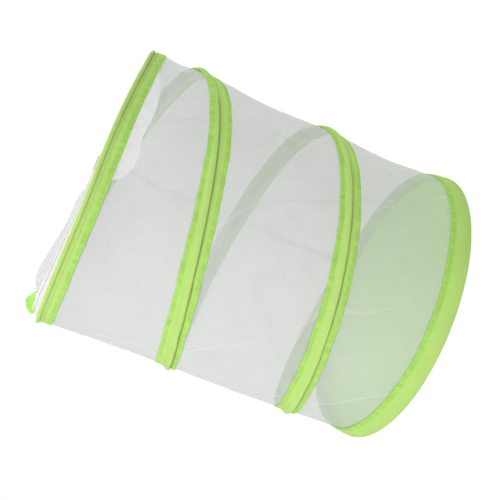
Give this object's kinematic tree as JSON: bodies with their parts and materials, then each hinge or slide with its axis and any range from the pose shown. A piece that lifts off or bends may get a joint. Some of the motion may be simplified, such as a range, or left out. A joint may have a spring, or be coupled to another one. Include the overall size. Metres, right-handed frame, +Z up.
{
  "type": "insect cage",
  "caption": "Pop-up insect cage: a round mesh wall held open by a coiled wire in sewn tape, with a half-moon zipped lid and a ribbon loop.",
  "frame": {"origin": "on the floor under the middle of the base, on the cage's axis", "axes": "+Z up along the cage's axis from base to lid; the lid's hinge runs along Y, with the lid on the -X side; the front of the picture is -Y"},
  "size_m": [0.307, 0.307, 0.3791],
  "materials": {
    "spring_steel": "drawn wire",
    "tinned_steel": "crimped",
    "green_tape": "woven binding tape",
    "green_cloth": "plain woven cloth",
    "white_mesh": "fine see-through mesh",
    "zip_tape": "woven zip tape",
    "zip_nylon": "nylon coil",
    "zip_metal": "white enamel on die-cast zinc",
    "green_ribbon": "satin ribbon"
  },
  "bodies": {
    "base": {"base_ring_wire": "spring_steel", "base_ring_ferrule": "tinned_steel", "base_binding": "green_tape", "base_panel": "green_cloth", "helix_wire": "spring_steel", "helix_cap_base": "tinned_steel", "helix_sleeve": "green_tape", "wall_mesh": "white_mesh", "side_seam": "white_mesh"},
    "top": {"top_ring_wire": "spring_steel", "top_ring_ferrule": "tinned_steel", "top_binding": "green_tape", "top_panel": "white_mesh", "helix_cap_top": "tinned_steel", "zip_tape_rim": "zip_tape", "zip_teeth_rim": "zip_nylon", "zip_tail_closed_end": "zip_tape", "zip_tail_open_end": "zip_tape", "zip_stop_closed_end": "zip_metal", "zip_stop_open_end": "zip_metal"},
    "lid": {"lid_flap": "white_mesh", "zip_tape_flap": "zip_tape", "zip_teeth_flap": "zip_nylon"},
    "slider": {"zip_slider": "zip_metal"},
    "pull": {"zip_pull": "zip_metal"},
    "loop": {"hang_loop": "green_ribbon"}
  },
  "joints": [
    {"name": "collapse", "type": "slide", "parent": "base", "child": "top", "axis": [0, 0, 1], "range_m": [-0.308, 0], "stiffness_N_per_m": 22, "springref_m": 0.1, "deforming": ["wall_mesh", "helix_wire", "helix_sleeve", "side_seam"]},
    {"name": "lid_hinge", "type": "hinge", "parent": "top", "child": "lid", "pos_m": [0.008, 0, 0.3555], "axis": [0, 1, 0], "range_deg": [0, 115]},
    {"name": "zip_travel", "type": "hinge", "parent": "top", "child": "slider", "pos_m": [0, 0, 0.3555], "axis": [0, 0, 1], "range_deg": [0, 194.29]},
    {"name": "pull_swing", "type": "hinge", "parent": "slider", "child": "pull", "pos_m": [0.01726, 0.13772, 0.3598], "axis": [-0.1243, -0.9922, 0], "range_deg": [0, 150]},
    {"name": "loop_swing", "type": "hinge", "parent": "top", "child": "loop", "pos_m": [-0.13489, 0.0629, 0.3546], "axis": [-0.4226, -0.9063, 0], "range_deg": [-60, 100], "stiffness_Nm_per_rad": 0.002}
  ]
}
